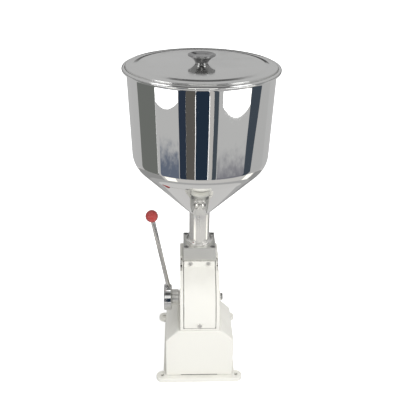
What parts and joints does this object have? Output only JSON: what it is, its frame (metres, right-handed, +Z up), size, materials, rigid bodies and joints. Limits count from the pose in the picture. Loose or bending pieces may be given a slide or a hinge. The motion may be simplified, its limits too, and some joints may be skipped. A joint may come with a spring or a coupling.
{
  "type": "manual liquid filling machine",
  "caption": "Hand-lever piston filler: steel hopper with lid on a valve block and painted casting, side lever with ball, geared piston, ball valves, spout, lugged foot.",
  "frame": {"origin": "on the floor, at the centre of the foot plate's underside plane, under the hopper's axis", "axes": "+Z up; +Y to the front, where the spout is; +X to the right as seen from behind, so the lever is on the -X side"},
  "size_m": [0.28, 0.28, 0.648],
  "materials": {
    "foot_paint": "satin grey-white paint",
    "body_paint": "smooth cream-white paint",
    "block_steel": "satin ground stainless steel",
    "mirror_steel": "mirror-polished stainless steel",
    "turned_steel": "bright turned and plated steel",
    "gear_steel": "oiled machined steel",
    "bronze": "plain bearing bronze",
    "valve_steel": "polished stainless steel",
    "screw_steel": "plain stainless steel screws",
    "spring_steel": "drawn spring wire",
    "seal_rubber": "matt black rubber",
    "red_plastic": "glossy red moulded ball"
  },
  "bodies": {
    "machine": {"foot_plate": "foot_paint", "body_casting": "body_paint", "rear_cover": "body_paint", "valve_block": "block_steel", "hopper": "mirror_steel", "hopper_cone": "mirror_steel", "hopper_neck": "mirror_steel", "feed_pipe": "mirror_steel", "bush_nut": "turned_steel", "left_bush": "bronze", "right_bush": "bronze", "rod_guide_bush": "bronze", "cylinder_liner": "valve_steel", "feed_seat": "valve_steel", "feed_retainer": "valve_steel", "discharge_elbow": "valve_steel", "spout": "valve_steel", "foot_screws": "screw_steel", "cover_screws": "screw_steel", "side_screws": "screw_steel", "front_screws": "screw_steel", "block_screws": "screw_steel", "dose_screw": "screw_steel", "dose_lock_nut": "screw_steel", "feed_spring": "spring_steel", "discharge_spring": "spring_steel", "liner_seal": "seal_rubber", "pipe_seal": "seal_rubber", "discharge_seal": "seal_rubber"},
    "lever": {"drive_shaft": "gear_steel", "shaft_keys": "gear_steel", "pinion": "gear_steel", "stop_arm": "gear_steel", "handle_hub": "turned_steel", "hub_washer": "turned_steel", "hub_screw": "turned_steel", "handle_rod": "turned_steel", "handle_ball": "red_plastic", "shaft_end_washer": "turned_steel", "shaft_end_screw": "turned_steel"},
    "piston": {"rack_rod": "gear_steel", "piston": "valve_steel", "piston_seals": "seal_rubber", "piston_bolt": "screw_steel"},
    "lid": {"lid": "mirror_steel", "lid_knob": "mirror_steel", "knob_screw": "screw_steel"},
    "feed_ball": {"feed_ball": "valve_steel"},
    "discharge_ball": {"discharge_ball": "valve_steel"}
  },
  "joints": [
    {"name": "lever_turn", "type": "hinge", "parent": "machine", "child": "lever", "pos_m": [0, -0.035, 0.158], "axis": [1, 0, 0], "range_deg": [-90, 0]},
    {"name": "piston_slide", "type": "slide", "parent": "machine", "child": "piston", "axis": [0, 0, 1], "range_m": [-0.0393, 0]},
    {"name": "lid_lift", "type": "slide", "parent": "machine", "child": "lid", "axis": [0, 0, 1], "range_m": [0, 0.12]},
    {"name": "feed_ball_slide", "type": "slide", "parent": "machine", "child": "feed_ball", "axis": [0, 0, 1], "range_m": [-0.0035, 0], "stiffness_N_per_m": 200, "springref_m": 0.004, "deforming": ["feed_spring"]},
    {"name": "discharge_ball_slide", "type": "slide", "parent": "machine", "child": "discharge_ball", "axis": [0, 0, 1], "range_m": [-0.003, 0], "stiffness_N_per_m": 200, "springref_m": 0.004, "deforming": ["discharge_spring"]}
  ],
  "couplings": [
    {"joint": "piston_slide", "follows": "lever_turn", "m_per_rad": 0.025}
  ]
}
